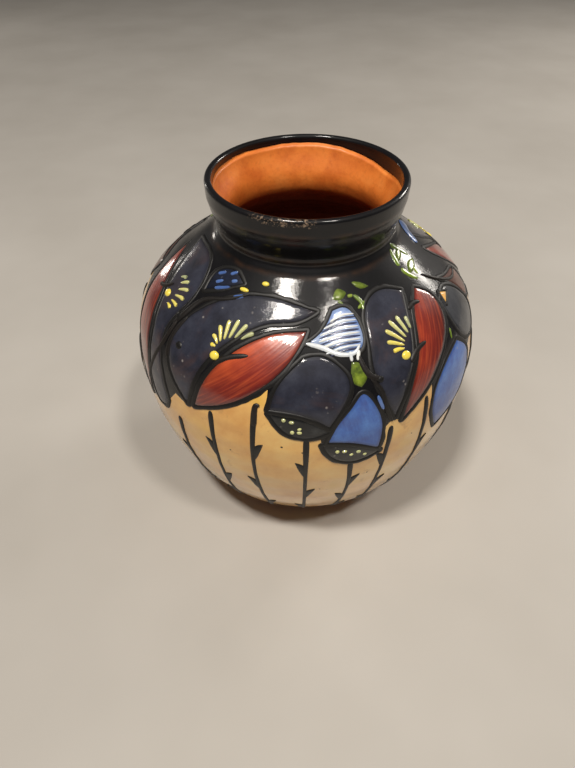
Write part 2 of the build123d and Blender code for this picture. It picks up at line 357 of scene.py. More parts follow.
class Trail:
    """Gathers slip-trailed lines and strokes, which become one mesh."""

    def __init__(self):
        self.points, self.faces, self.paint = [], [], []
        self.count = 0

    def add(self, rows, closed, paint=0.0, cap=()):
        """Adds a skin over rows of points, and the caps, which are faces of its own points."""
        points = np.vstack(rows)
        faces = face_outwards(points, grid_faces(len(rows), len(rows[0]), closed) + list(cap))
        self.points.append(points)
        self.faces.extend(tuple(i + self.count for i in f) for f in faces)
        self.paint.append(np.full(len(points), float(paint)))
        self.count += len(points)

    def band(self, line, centre, width, height, seed):
        """A rounded bead round a closed flat line, from a little inside it to a wandering width outside."""
        normals = loop_normals(line)
        ring, normals = round_corners(line, normals)
        travel = np.r_[0, np.cumsum(np.linalg.norm(np.diff(ring, axis=0), axis=1))]
        wander = 1 + 0.36 * ripple(travel, seed, 7.0) + 0.22 * ripple(travel, seed + 31, 2.6)
        fade = np.clip(np.minimum(travel, travel[-1] - travel) / 2.0, 0, 1)
        wander = 1 + (wander - 1) * fade
        rows = []
        for across, rise in OUTLINE_BEAD:
            reach = (across + 1) / 2 * (width * wander + OVERLAP) - OVERLAP
            where = unmetric(ring + normals * reach[:, None], centre)
            top = height * (0.8 + 0.2 * wander) * rise
            rows.append(on_wall(outer, *where.T, top))
        self.add(rows, True)

    def stroke(self, places, width, height, turn, base=0.0, ends=(0.0, 0.0), blunt=5.0, paint=0.0, seed=0):
        """A raised brush or slip stroke along places. width is one number or one for each place, in mm.
        ends cut the width at the start and end by a share, for a stroke that is pointed there."""
        centre = spots(places).mean(axis=0)
        flat = metric(spots(places), centre)
        centre = centre + np.array([radians(turn), 0])
        widths = np.broadcast_to(np.array(width, float), (len(flat),))
        steps = max(8, int(np.linalg.norm(np.diff(flat, axis=0), axis=1).sum() / 0.4))
        both = np.column_stack([flat, widths])
        line = smooth_curve(both, steps) if len(flat) > 2 else np.linspace(both[0], both[1], steps)
        t = np.linspace(-1, 1, steps)
        t = np.sin(t * pi / 2)
        even = np.linspace(0, 1, steps)
        line = np.stack([np.interp((t + 1) / 2, even, line[:, k]) for k in range(3)], axis=1)
        along = np.gradient(line[:, :2], axis=0)
        along /= np.linalg.norm(along, axis=1)[:, None] + SHORTEST
        normal = np.stack([along[:, 1], -along[:, 0]], axis=1)
        taper = np.sqrt(np.clip(1 - np.abs(t) ** blunt, 0, 1))
        share = (t + 1) / 2
        taper = taper * (1 - ends[0] * (1 - share)) * (1 - ends[1] * share)
        half = line[:, 2] / 2 * taper
        half = half * (1 + 0.10 * ripple(share * 20 + seed * 3, seed + 5, 2.5))
        rows = []
        swell = 0.35 + 0.65 * np.sqrt(np.clip(taper, 0, 1))
        for across, rise in BEAD:
            where = unmetric(line[:, :2] + normal * (across * half)[:, None], centre)
            rows.append(on_wall(outer, *where.T, base + height * rise * swell - SINK))
        self.add(rows, False, paint)

    def blob(self, place, length, width, height, turn, base=0.0, tilt=0.0, paint=0.0):
        """A raised oval dot."""
        centre = spots([place])[0] + np.array([radians(turn), 0])
        rings, spokes = 5, 20
        angle = np.linspace(0, 2 * pi, spokes, endpoint=False)
        rows = []
        for k in range(rings + 1):
            share = 1 - k / rings * 0.96
            x, y = np.cos(angle) * length / 2 * share, np.sin(angle) * width / 2 * share
            flat = np.stack([x * cos(tilt) - y * sin(tilt), x * sin(tilt) + y * cos(tilt)], axis=1)
            where = unmetric(flat, centre)
            rise = np.sqrt(max(0.0, 1 - share**2.6))
            rows.append(on_wall(outer, *where.T, base - SINK + height * rise))
        self.add(rows, True, paint, cap=[tuple(rings * spokes + j for j in range(spokes))])

    def make(self, name, slot, *nodes):
        piece = new_piece(name, np.vstack(self.points), self.faces, slot, *nodes)
        attribute(piece, "paint", np.concatenate(self.paint))
        return piece


# ---- material nodes ----
class Recipe:
    """One material, built node by node. Colours are linear."""

    def __init__(self, name):
        self.material = bpy.data.materials.new(name)
        self.material.use_nodes = True
        self.tree = self.material.node_tree
        self.shader = self.tree.nodes["Principled BSDF"]
        self.place = self.tree.nodes.new("ShaderNodeTexCoord").outputs["Object"]

    def node(self, kind, links=None, **settings):
        made = self.tree.nodes.new(kind)
        for key, value in settings.items():
            setattr(made, key, value)
        for key, value in (links or {}).items():
            self.put(made.inputs[key], value)
        return made

    def put(self, socket, value):
        """Links a socket to a node's output, or sets it. A colour gets its alpha here."""
        if isinstance(value, bpy.types.NodeSocket):
            self.tree.links.new(value, socket)
        else:
            socket.default_value = (*value, 1) if socket.type == "RGBA" else value

    def noise(self, size_mm, detail=3.0, roughness=0.55, distortion=0.0):
        links = {
            "Vector": self.place,
            "Scale": 1 / (size_mm * MM),
            "Detail": detail,
            "Roughness": roughness,
            "Distortion": distortion,
        }
        return self.node("ShaderNodeTexNoise", links).outputs["Fac"]

    def streaks(self, along, across, shift=0.0):
        """Noise drawn out along the field's paint coordinates."""
        paint = self.node("ShaderNodeUVMap", uv_map="paint").outputs["UV"]
        links = {"Vector": paint, "Scale": (along, across, 1.0), "Location": (shift, shift, 0.0)}
        mapped = self.node("ShaderNodeMapping", links).outputs["Vector"]
        links = {"Vector": mapped, "Scale": 1.0, "Detail": 4.0}
        return self.node("ShaderNodeTexNoise", links).outputs["Fac"]

    def cells(self, size_mm):
        """Distances from scattered points, which lie about so far apart."""
        links = {"Vector": self.place, "Scale": 1 / (size_mm * MM)}
        return self.node("ShaderNodeTexVoronoi", links).outputs["Distance"]

    def paint_axis(self, axis):
        paint = self.node("ShaderNodeUVMap", uv_map="paint").outputs["UV"]
        return self.node("ShaderNodeSeparateXYZ", {"Vector": paint}).outputs[axis]

    def attribute(self, name):
        return self.node("ShaderNodeAttribute", attribute_name=name).outputs["Fac"]

    def ramp(self, value, *stops):
        made = self.node("ShaderNodeValToRGB", {"Fac": value})
        elements = made.color_ramp.elements
        while len(elements) < len(stops):
            elements.new(0.5)
        for element, (position, colour) in zip(elements, stops):
            element.position = position
            element.color = (*colour, 1)
        return made.outputs["Color"]

    def range(self, value, low, high, to_low=0.0, to_high=1.0):
        links = {"Value": value, "From Min": low, "From Max": high, "To Min": to_low, "To Max": to_high}
        return self.node("ShaderNodeMapRange", links).outputs["Result"]

    def maths(self, operation, a, b=0.0):
        return self.node("ShaderNodeMath", {0: a, 1: b}, operation=operation).outputs[0]

    def times(self, a, b):
        return self.maths("MULTIPLY", a, b)

    def mix(self, share, a, b):
        """Colour a with a share of colour b. A mix node's colour sockets are its inputs 6 and 7."""
        made = self.node("ShaderNodeMix", data_type="RGBA")
        for key, value in ((0, share), (6, a), (7, b)):
            self.put(made.inputs[key], value)
        return made.outputs[2]

    def height(self):
        """Height above the foot in mm."""
        z = self.node("ShaderNodeSeparateXYZ", {"Vector": self.place}).outputs["Z"]
        return self.times(z, 1 / MM)

    def band(self, value, centre, width):
        """1 at a value, falling to 0 a width away."""
        gap = self.maths("ABSOLUTE", self.maths("SUBTRACT", value, centre))
        return self.range(gap, 0.0, width, 1.0, 0.0)

    def finish(self, colour, roughness=0.35, bumps=(), coat=1.0, coat_roughness=0.04, specular=0.5):
        """Links the colour, the roughness and the bumps (value, depth in mm), and sets the clear coat."""
        self.put(self.shader.inputs["Base Color"], colour)
        self.put(self.shader.inputs["Roughness"], roughness)
        self.shader.inputs["Coat Weight"].default_value = coat
        self.shader.inputs["Coat Roughness"].default_value = coat_roughness
        self.shader.inputs["Specular IOR Level"].default_value = specular
        normal = None
        for value, depth in bumps:
            links = {"Height": value, "Strength": 1.0, "Distance": depth * MM}
            if normal is not None:
                links["Normal"] = normal
            normal = self.node("ShaderNodeBump", links).outputs["Normal"]
        if normal is not None:
            self.tree.links.new(normal, self.shader.inputs["Normal"])
            if coat > 0:
                self.tree.links.new(normal, self.shader.inputs["Coat Normal"])
        return self.material


def srgb(r, g, b):
    """A linear colour from its everyday 0 to 255 values."""
    return tuple(((v / 255 + 0.055) / 1.055) ** 2.4 if v > 10 else v / 255 / 12.92 for v in (r, g, b))


def terracotta():
    m = Recipe("terracotta")
    grain = m.noise(0.9, 5, 0.65)
    patches = m.noise(14, 3)
    colour = m.ramp(patches, (0.3, srgb(176, 96, 52)), (0.7, srgb(206, 122, 70)))
    colour = m.mix(m.range(grain, 0.35, 0.7, 0.0, 0.5), colour, srgb(150, 76, 40))
    specks = m.range(m.noise(0.5, 2), 0.68, 0.74)
    colour = m.mix(specks, colour, srgb(228, 170, 120))
    return m.finish(colour, 0.85, [(grain, 0.12), (m.noise(3.5, 4), 0.15)], coat=0.0)


def clear_glaze():
    m = Recipe("clear_glaze")
    mottled = m.noise(9, 4)
    colour = m.ramp(mottled, (0.3, srgb(204, 104, 36)), (0.55, srgb(230, 130, 52)), (0.8, srgb(240, 148, 70)))
    fine = m.noise(1.2, 4)
    colour = m.mix(m.range(fine, 0.5, 0.8, 0.0, 0.35), colour, srgb(168, 74, 24))
    # Painted shade: below the neck the lining darkens to a deep brown, because the inside of the belly lies
    # in shade.
    deep = m.range(m.height(), 99.0, 108.5, 0.88, 0.0)
    colour = m.mix(deep, colour, srgb(104, 44, 28))
    return m.finish(colour, 0.5, [(m.noise(3.0, 3), 0.10), (fine, 0.03)], coat=0.12, coat_roughness=0.2)


def glossy_black():
    m = Recipe("black_glaze")
    cloud = m.noise(10, 4)
    colour = m.ramp(cloud, (0.35, srgb(7, 7, 9)), (0.7, srgb(17, 16, 20)))
    level = m.maths("ADD", m.height(), m.range(m.noise(16, 2), 0, 1, -1.2, 1.2))
    streak = m.noise(4.5, 4)
    under_lip, over_neck, under_neck = (m.band(level, *b) for b in ((117.6, 1.0), (108.3, 1.3), (104.6, 0.9)))
    thin = m.maths("ADD", m.maths("ADD", under_lip, over_neck), m.times(under_neck, 0.7))
    thin = m.times(thin, m.range(streak, 0.38, 0.62, 0.15, 1.0))
    thin = m.times(thin, m.attribute("outside"))
    colour = m.mix(m.range(thin, 0, 1, 0.0, 0.6), colour, srgb(66, 42, 24))
    # Pale grey-brown speckles on the front of the lip: a real chip at the very front, and painted glints of
    # the rim's highlight to the left of it.
    chips_and_glints = m.range(m.noise(0.9, 4, 0.7), 0.54, 0.6)
    chips_and_glints = m.times(chips_and_glints, m.range(m.attribute("wear_and_glint"), 0.15, 0.7))
    colour = m.mix(chips_and_glints, colour, srgb(146, 124, 104))
    pits = m.noise(0.55, 4, 0.7)
    bumps = [(m.noise(5, 3), 0.06), (pits, 0.022)]
    return m.finish(colour, 0.5, bumps, coat=0.65, coat_roughness=0.07, specular=0.15)


def cream():
    m = Recipe("cream_glaze")
    cloud = m.noise(12, 4)
    sand, cream_tone, pale = srgb(220, 160, 82), srgb(236, 186, 106), srgb(243, 206, 128)
    colour = m.ramp(cloud, (0.3, sand), (0.52, cream_tone), (0.75, pale))
    stain = m.range(m.noise(22, 3, distortion=0.6), 0.56, 0.72)
    colour = m.mix(m.times(stain, 0.6), colour, srgb(220, 176, 60))
    crawl = m.range(m.noise(5.5, 5, 0.7), 0.60, 0.68, 0.0, 0.4)
    colour = m.mix(crawl, colour, srgb(186, 132, 72))
    cells = m.cells(1000 / 105)
    keep = m.range(m.noise(8, 2), 0.52, 0.6)
    speck = m.times(m.range(cells, 0.05, 0.085, 1.0, 0.0), keep)
    colour = m.mix(speck, colour, srgb(74, 44, 20))
    foot = m.range(m.height(), 4.0, 16.0, 0.45, 0.0)
    colour = m.mix(foot, colour, srgb(190, 120, 60))
    return m.finish(colour, 0.35, [(m.noise(6, 3), 0.08), (m.noise(1.0, 3), 0.015)], coat_roughness=0.05)


def field_glaze(name, light, mid, dark, size=6.0, rim=0.55, streak=None, stain=None, fade=0.0):
    """A pooled colour: cloudy between its tones, darker where it thins at the rim, with brush streaks."""
    m = Recipe(name)
    cloud = m.noise(size, 5, 0.6)
    colour = m.ramp(cloud, (0.28, dark), (0.5, mid), (0.75, light))
    if streak is not None:
        along, across, strength = streak
        lines = m.range(m.streaks(along, across), 0.35, 0.65)
        colour = m.mix(m.times(lines, strength), colour, light)
    if stain is not None:
        colour = m.mix(m.range(m.noise(15, 4, distortion=0.8), 0.52, 0.68, 0.0, 0.55), colour, stain)
    if fade > 0:
        colour = m.mix(m.range(m.paint_axis("X"), 0.0, 0.55, fade, 0.0), colour, dark)
    fine = m.noise(0.7, 3)
    colour = m.mix(m.range(fine, 0.45, 0.8, 0.0, 0.25), colour, dark)
    cells = m.cells(1000 / 420)
    speckled_zone = m.range(m.noise(7, 3, 0.7), 0.56, 0.64, 0.0, 0.6)
    speck = m.times(m.range(cells, 0.10, 0.22, 1.0, 0.0), speckled_zone)
    colour = m.mix(speck, colour, srgb(158, 152, 148))
    rim_share = m.range(m.attribute("edge"), 0.2, 1.5, rim, 0.0)
    colour = m.mix(rim_share, colour, tuple(0.35 * c for c in dark))
    pits = m.noise(0.5, 4, 0.7)
    bumps = [(m.noise(4, 3), 0.06), (pits, 0.022)]
    return m.finish(colour, 0.5, bumps, coat=0.7, coat_roughness=0.08, specular=0.2)


def red_glaze():
    m = Recipe("red_glaze")
    across = m.paint_axis("Y")
    along = m.paint_axis("X")
    mottled = m.maths("ADD", across, m.range(m.noise(7, 3), 0, 1, -0.10, 0.10))
    colour = m.ramp(
        m.range(mottled, -0.22, 0.16),
        (0.0, srgb(72, 20, 20)),
        (0.35, srgb(108, 30, 24)),
        (0.65, srgb(138, 42, 28)),
        (1.0, srgb(202, 84, 42)),
    )
    base = m.range(along, 0.0, 0.55, 0.8, 0.0)
    colour = m.mix(base, colour, srgb(78, 24, 24))
    lines = m.range(m.streaks(3.0, 58.0), 0.46, 0.70)
    colour = m.mix(m.times(lines, 0.42), colour, srgb(204, 92, 50))
    dark_lines = m.range(m.streaks(2.4, 40.0, shift=5.0), 0.52, 0.72)
    colour = m.mix(m.times(dark_lines, 0.45), colour, srgb(96, 26, 22))
    rim_share = m.range(m.attribute("edge"), 0.2, 1.3, 0.6, 0.0)
    colour = m.mix(rim_share, colour, srgb(48, 14, 12))
    brush = m.streaks(3.0, 70.0, shift=2.0)
    return m.finish(colour, 0.32, [(brush, 0.05), (m.noise(4, 3), 0.05)], coat_roughness=0.06)


def stroke_glaze(name, stops, coat=1.0, roughness=0.35):
    """Paint for raised strokes: each stroke's own tone picks from the stops, with a cloudy shift."""
    m = Recipe(name)
    tone = m.maths("ADD", m.attribute("paint"), m.range(m.noise(1.6, 4), 0, 1, -0.3, 0.3))
    colour = m.ramp(tone, *((place, srgb(*tones)) for place, tones in stops))
    return m.finish(colour, roughness, [(m.noise(0.8, 3), 0.04)], coat=coat, coat_roughness=0.08)


# The light, middle and dark tone of each pooled glaze, and what is special about it.
POOLED = {
    "navy_glaze": ((56, 59, 72), (42, 44, 57), (28, 29, 39), {"stain": srgb(70, 52, 50)}),
    "blue_glaze": ((90, 134, 202), (68, 104, 178), (66, 80, 142), {"streak": (3.0, 26.0, 0.35), "fade": 0.6}),
    "grey_glaze": ((74, 76, 80), (52, 54, 60), (32, 34, 38), {}),
    "pale_glaze": ((200, 210, 228), (150, 172, 212), (92, 122, 184), {"rim": 0.3}),
    "dark_blue_glaze": ((34, 44, 72), (22, 28, 46), (12, 14, 24), {}),
    "green_glaze": ((150, 168, 58), (108, 128, 36), (58, 74, 22), {"size": 2.5}),
    "bell_mouth_glaze": ((56, 58, 60), (30, 32, 34), (14, 14, 16), {}),
    "brown_glaze": ((126, 84, 66), (98, 58, 46), (62, 36, 30), {}),
}
# The tones of each stroke paint, as (place in the range, colour).
STROKES = {
    "stamen_glaze": ((0.0, (150, 160, 130)), (0.45, (206, 206, 138)), (1.0, (240, 218, 84))),
    "white_paint": ((0.0, (176, 190, 214)), (0.4, (222, 226, 228)), (0.9, (246, 244, 236))),
    "blue_paint": ((0.0, (12, 15, 32)), (0.5, (22, 32, 72)), (1.0, (40, 60, 120))),
    "light_blue_paint": ((0.0, (44, 66, 122)), (0.5, (74, 106, 168)), (1.0, (118, 148, 200))),
    "green_paint": ((0.0, (40, 54, 18)), (0.5, (104, 128, 32)), (1.0, (164, 180, 66))),
}
SLIP_TONES = ((0.0, (8, 7, 7)), (0.6, (20, 14, 11)), (1.0, (44, 27, 16)))
MATERIALS = {
    "terracotta": terracotta(),
    "clear_glaze": clear_glaze(),
    "black_glaze": glossy_black(),
    "cream_glaze": cream(),
    "red_glaze": red_glaze(),
    "black_slip": stroke_glaze("black_slip", SLIP_TONES, coat=0.0, roughness=0.5),
}
for name, (light, mid, dark, special) in POOLED.items():
    MATERIALS[name] = field_glaze(name, srgb(*light), srgb(*mid), srgb(*dark), **special)
for name, stops in STROKES.items():
    MATERIALS[name] = stroke_glaze(name, stops)


def paint(piece, material):
    """Gives a piece a material of its own in place of its slot's."""
    piece.data.materials.clear()
    piece.data.materials.append(material)


# ---- the thrown clay ----
# Lower edge of the black coat, as places: it runs under the outlines of the lowest flowers.
HEM = (
    (-97, 88), (-84, 83.5), (-74, 74), (-61, 60), (-59.4, 59.2), (-54, 60.2), (-49.8, 61.4), (-47.6, 66),
    (-44, 71), (-39, 69.6), (-36, 70.2), (-27, 74.2), (-16, 81.2), (-12.9, 83.6), (-12.5, 77),
    (-11.4, 74.4), (-7.3, 69.9), (0, 68.2), (3, 69.2), (3.3, 65), (6.8, 58.5), (12.8, 55.5), (21.8, 57.9),
    (22.0, 68), (24.8, 70.4), (26.5, 69.6), (28, 68.4), (34, 72.6), (39.2, 76.4), (40.0, 66), (43.6, 55.4),
    (53.2, 57.4), (61.4, 63.6), (63.6, 75), (69, 77), (76, 80), (80, 86),
)
HEM_TURNS = np.sort([radians(a + turn) % (2 * pi) for a, h in HEM for turn in (0, BACK_TURN)])
EVEN = [a for a in np.linspace(0, 2 * pi, 440, endpoint=False) if np.abs(HEM_TURNS - a).min() > 0.006]
TURN = np.sort(np.r_[EVEN, HEM_TURNS])
COLUMNS = len(TURN)


def revolve(name, wall_rows, slot, *nodes):
    """A closed round skin from rows of points, each row a ring; the last ring joins the first."""
    points = np.vstack(wall_rows)
    rows = len(wall_rows)
    faces = grid_faces(rows, COLUMNS, closed=True)
    for j in range(COLUMNS):
        k = (j + 1) % COLUMNS
        faces.append(((rows - 1) * COLUMNS + j, (rows - 1) * COLUMNS + k, k, j))
    return new_piece(name, points, faces, slot, *nodes)


def ring(wall, s, lift):
    return on_wall(wall, TURN, np.broadcast_to(s, TURN.shape), np.broadcast_to(lift, TURN.shape))


def lip_ring(angle, radius):
    """A ring round the lip's rounded top, at an angle from its outer side: 0 is outside and pi is inside."""
    r = LIP_CENTRE + radius * cos(angle) + hand(TURN, LIP_HEIGHT)
    z = np.full(COLUMNS, LIP_HEIGHT + radius * sin(angle))
    return np.stack([r * np.sin(TURN), -r * np.cos(TURN), z], axis=1) * MM


def thrown_inside(s):
    """Throwing rings on the inner wall, in mm, left by the potter's fingers."""
    depth = np.clip((s - 9.0) / 12.0, 0, 1)
    return depth * (0.26 * np.sin(s * 2 * pi / 6.5 + TURN) + 0.10 * np.sin(s * 2 * pi / 2.9 + 2 * TURN))


# Rings as (radius, height): over the floor inside to its middle, then from there out to the foot's edge.
INNER_FLOOR = ((18, FLOOR - 0.1), (10, FLOOR - 0.2), (3, FLOOR - 0.2), (AXIS, FLOOR - 0.2))
UNDERSIDE = ((AXIS, RECESS), (6, RECESS - 0.08), (12, RECESS), (18, RECESS - 0.08), (22.5, RECESS - 0.1))
UNDERSIDE += ((RECESS_RADIUS, RECESS - 0.05), (RECESS_RADIUS + 0.6, 0.45), (RECESS_RADIUS + 1.4, 0.06))
UNDERSIDE += ((RECESS_RADIUS + 2.2, 0), (29, 0), (FOOT - 1.4, 0), (FOOT - 0.6, 0.08))


def make_clay():
    rows = [ring(outer, s, -GROUND) for s in np.linspace(0.4, outer.s[-1], 60)]
    rows += [lip_ring(angle, LIP_ROUND - GROUND) for angle in np.linspace(0.25, pi - 0.25, 7)]
    rows += [ring(inner, s, thrown_inside(s)) for s in np.linspace(0, inner.s[-1], 90)]
    rows += [flat_ring(radius, height) for radius, height in INNER_FLOOR + UNDERSIDE]
    revolve("terracotta_pot", rows, "terracotta", "clay_body")


def flat_ring(radius, height):
    """A true circle about the axis."""
    z = np.full(COLUMNS, float(height))
    return np.stack([radius * np.sin(TURN), -radius * np.cos(TURN), z], axis=1) * MM


def lap_depth():
    """How far the black coat laps down inside the lip: short at the back left, and deep at the right."""
    deep = 1.5 + 2.6 * np.exp(-(((TURN - radians(112)) / radians(34)) ** 2))
    deep = deep + 0.8 * np.exp(-(((TURN - radians(280)) / radians(28)) ** 2))
    drip = 0.30 * ripple(np.cos(TURN) * 20, 3, 6) + 0.22 * ripple(np.sin(TURN) * 24, 9, 2.5)
    return deep + drip


def make_lining():
    top = lap_depth() - 0.15
    levels = [top + (inner.s[-1] - top) * share for share in np.linspace(0, 1, 80)]
    rows = [on_wall(inner, TURN, s, LINING + thrown_inside(s)) for s in levels]
    rows += [flat_ring(radius, FLOOR + LINING) for radius in (18, 10, 3, AXIS)]
    rows += [flat_ring(radius, FLOOR - 0.05) for radius in (AXIS, 10, 24)]
    rows += [on_wall(inner, TURN, s, 0.02 + thrown_inside(s)) for s in levels[::-2]]
    revolve("inner_clear_glaze", rows, "clear_glaze", "interior_clear_glaze")


def hem_heights(azimuths):
    """Height of the black coat's lower edge at azimuths in radians."""
    places = [(a, h) for a, h in HEM] + [(a + BACK_TURN, h) for a, h in HEM]
    places.append((HEM[0][0] + 360, HEM[0][1]))
    a, h = np.array(places).T
    degrees = (np.degrees(azimuths) - HEM[0][0]) % 360 + HEM[0][0]
    return np.interp(degrees, a, h)


def shoulder_relief(s):
    """The step under the lip band and the two turned ridges at the foot of the neck, in mm."""
    height = outer.at(s)[1]
    step = 0.30 / (1 + np.exp(-(height - 116.9) / 0.35)) - 0.30
    ridges = 0.30 * np.exp(-(((height - 108.4) / 0.8) ** 2)) + 0.18 * np.exp(-(((height - 105.6) / 0.7) ** 2))
    return np.clip(height - 100, 0, 1) * ridges + np.clip((height - 108) / 4, 0, 1) * step


LIP_ANGLES = np.linspace(0.2, pi - 0.2, 12)
COLLAR = 91.0  # height above which every column of the black coat is divided alike
BLACK_RISE = 0.12  # how far the black coat stands above the cream


def make_black_coat():
    hem = outer.s_of(hem_heights(TURN))
    shoulder = outer.s_of(COLLAR)
    levels = [hem + (shoulder - hem) * share for share in np.linspace(0, 1, 50)]
    levels += [np.full(COLUMNS, s) for s in np.linspace(shoulder, outer.s[-1], 70)[1:]]
    rows = [on_wall(outer, TURN, hem, -BLACK_RISE)]
    for s in levels:
        edge = BLACK_RISE * np.clip((s - hem) / 0.8, 0, 1) ** 0.5
        rows.append(on_wall(outer, TURN, s, edge + shoulder_relief(s)))
    over_lip = np.interp(LIP_ANGLES, (0, pi), (BLACK_RISE, 0.05))
    rows += [lip_ring(angle, LIP_ROUND + rise) for angle, rise in zip(LIP_ANGLES, over_lip)]
    lap = lap_depth()
    for share in np.linspace(0, 1, 12):
        s = lap * share
        edge = np.clip((lap - s) / 0.3, 0, 1) ** 0.5
        rows.append(on_wall(inner, TURN, s, 0.05 + GROUND * edge))
    rows.append(on_wall(inner, TURN, lap, 0.0))
    rows += [on_wall(inner, TURN, lap * share, -0.1) for share in (0.6, 0.1)]
    rows += [lip_ring(angle, LIP_ROUND - GROUND - 0.05) for angle in (pi - 0.3, pi / 2, 0.3)]
    rows += [on_wall(outer, TURN, s, -GROUND) for s in levels[::-3]]
    piece = revolve("black_coat", rows, "black_glaze", "black_glaze_coat")
    outside = np.repeat(np.arange(len(rows)) < len(levels) + 8, COLUMNS)
    attribute(piece, "outside", outside.astype(float))
    # Where the lip is speckled: a narrow patch at the front for a chip, and a wider patch to its left that is
    # painted glints of the rim's highlight.
    speckled_zone = np.exp(-(((np.degrees(TURN) + 181) % 360 - 180) / 3.2) ** 2)
    speckled_zone = speckled_zone + 0.75 * np.exp(-(((np.degrees(TURN) + 198) % 360 - 180) / 13.0) ** 2)
    first = len(levels) - 1
    heights = np.array([1.0 if first <= k <= first + 7 else 0.0 for k in range(len(rows))])
    attribute(piece, "wear_and_glint", (heights[:, None] * speckled_zone).ravel())


def make_cream_coat():
    low = outer.s_of(4.5 + 0.9 * ripple(np.cos(TURN) * 30, 4, 9) + 0.5 * ripple(np.sin(TURN) * 30, 8, 4))
    high = outer.s_of(COLLAR)
    rows = []
    for share in np.linspace(0, 1, 100):
        s = low + (high - low) * share
        edge = np.clip((s - low) / 0.8, 0, 1) ** 0.5
        rows.append(on_wall(outer, TURN, s, -0.20 + 0.20 * edge))
    for share in np.linspace(1, 0, 40):
        rows.append(on_wall(outer, TURN, low + (high - low) * share, -GROUND))
    revolve("cream_coat", rows, "cream_glaze", "cream_ground_coat")


# ---- the painted spray ----
# Outlines as places. Where two curves of an outline meet, the field has a point.
FIELDS = {
    "red_petal_left": (
        [(-60, 60), (-62, 76), (-68, 86.5), (-79, 93.5), (-93, 98)],
        [(-93, 98), (-84, 88), (-73, 76), (-60, 60)],
    ),
    "navy_petal_left": (
        [(-48, 66), (-53, 79), (-56, 88), (-54, 95), (-60, 101), (-74, 102.5), (-88, 101.5)],
        [(-88, 101.5), (-77, 95.7), (-66, 88), (-60, 77), (-57.5, 66), (-54, 61)],
        [(-54, 61), (-50, 62), (-48, 66)],
    ),
    "navy_petal_middle": (
        [(-38.5, 70.5), (-47, 78), (-51, 85.5), (-47.5, 93.5), (-38, 98), (-20, 100.5), (3.5, 98.5)],
        [(3.5, 98.5), (-4, 96.8), (-17, 95.6), (-27, 92), (-34.5, 85), (-38.5, 70.5)],
    ),
    "red_petal_middle": (
        [(-36, 71), (-33, 81.5), (-24.5, 90.5), (-14, 94.2), (-1, 95.2)],
        [(-1, 95.2), (-7, 89), (-16, 82), (-27, 75), (-36, 71)],
    ),
    "navy_bell": (
        [(-2.5, 90.3), (3, 90.8), (8, 89.2), (12, 85), (9.5, 78.5), (5.5, 72)],
        [(5.5, 72), (0, 75.6), (-6, 77.2), (-12, 77.5)],
        [(-12, 77.5), (-10, 84), (-2.5, 90.3)],
    ),
    "navy_bell_mouth": (
        [(-12, 76.5), (-6, 76.2), (0, 74.6), (5.5, 71)],
        [(5.5, 71), (0, 68.8), (-7, 70.5), (-12, 76.5)],
    ),
    "blue_bell": (
        [(20.8, 60), (21.6, 69), (19, 78), (15.5, 81.5), (12.5, 79), (8, 73.5), (5, 66.5)],
        [(5, 66.5), (12, 65), (20.8, 60)],
    ),
    "blue_bell_mouth": (
        [(3.5, 65.5), (12, 64), (21.5, 58.4)],
        [(21.5, 58.4), (13, 56), (7, 59), (3.5, 65.5)],
    ),
    "pale_calyx": (
        [(9.5, 98.5), (15.5, 98.8), (19.5, 95.8), (16.8, 90.8), (10.5, 91), (4, 92.6), (-1.5, 93)],
        [(-1.5, 93), (5, 95.5), (9.5, 98.5)],
    ),
    "dark_calyx": (
        [(-51.5, 97.2), (-52, 101.5), (-43, 103), (-33.5, 101.5)],
        [(-33.5, 101.5), (-42, 99.5), (-51.5, 97.2)],
    ),
    "navy_petal_right": (
        [(25.5, 71), (22, 79), (20, 86), (21, 92), (24.5, 98), (35, 100), (46, 98)],
        [(46, 98), (40.5, 93.5), (36.3, 88), (31, 81), (25.5, 71)],
    ),
    "red_petal_right": (
        [(28, 69), (32.5, 80), (38.5, 87.5), (43.5, 93), (53, 97)],
        [(53, 97), (58.5, 94), (56.5, 89), (49, 84), (39, 77), (28, 69)],
    ),
    "blue_petal": (
        [(44, 56), (40.5, 66), (42, 74.5), (49, 80), (56.5, 82)],
        [(56.5, 82), (63, 75), (61, 64), (53, 58), (44, 56)],
    ),
    "grey_petal": (
        [(60, 91.5), (68, 92.5), (76, 88), (77, 81), (69, 77.5), (62.5, 80), (59, 85.5), (60, 91.5)],
    ),
}
SLOTS = {
    "red_petal": "red_glaze",
    "navy_petal": "navy_glaze",
    "navy_bell_mouth": "bell_mouth_glaze",
    "blue_bell_mouth": "bell_mouth_glaze",
    "navy_bell": "navy_glaze",
    "blue_bell": "blue_glaze",
    "blue_petal": "blue_glaze",
    "grey_petal": "grey_glaze",
    "pale_calyx": "pale_glaze",
    "dark_calyx": "dark_blue_glaze",
}
LEAVES = (
    ([(10, 100.3), (14, 102.2), (18.5, 101.2)], [(18.5, 101.2), (14.5, 100), (10, 100.3)]),
    ([(21, 103), (26, 102.6), (31, 101.2)], [(31, 101.2), (26, 101.1), (21, 103)]),
    ([(55, 102.2), (61, 104), (68, 103.8)], [(68, 103.8), (62, 102.3), (55, 102.2)]),
    ([(56, 99.2), (62, 101), (69, 100.4)], [(69, 100.4), (63, 99), (56, 99.2)]),
    ([(13.2, 89), (16, 88.7), (17.6, 85), (15.3, 83)], [(15.3, 83), (13, 84.2), (13.2, 89)]),
)
# A fan's dot, and its first and last stroke: the angles of their near and far ends as seen from the dot, in
# degrees from the right, and how far from it those ends lie in mm. Last, how many strokes there are.
FANS = {
    "stamens_left": ((-67.5, 91.5), (-27, -21, 4, 6.5), (98, 77, 6.5, 8), 6),
    "stamens_middle": ((-32, 87.5), (108, 136, 2.5, 3.5), (46, 43, 9.5, 14), 7),
    "stamens_right": ((32.5, 87), (85, 148, 2, 4.5), (49, 60, 8.5, 12), 6),
}
FAN_BULGE = 2.4  # how much further a fan's middle strokes reach than its outer ones, in mm
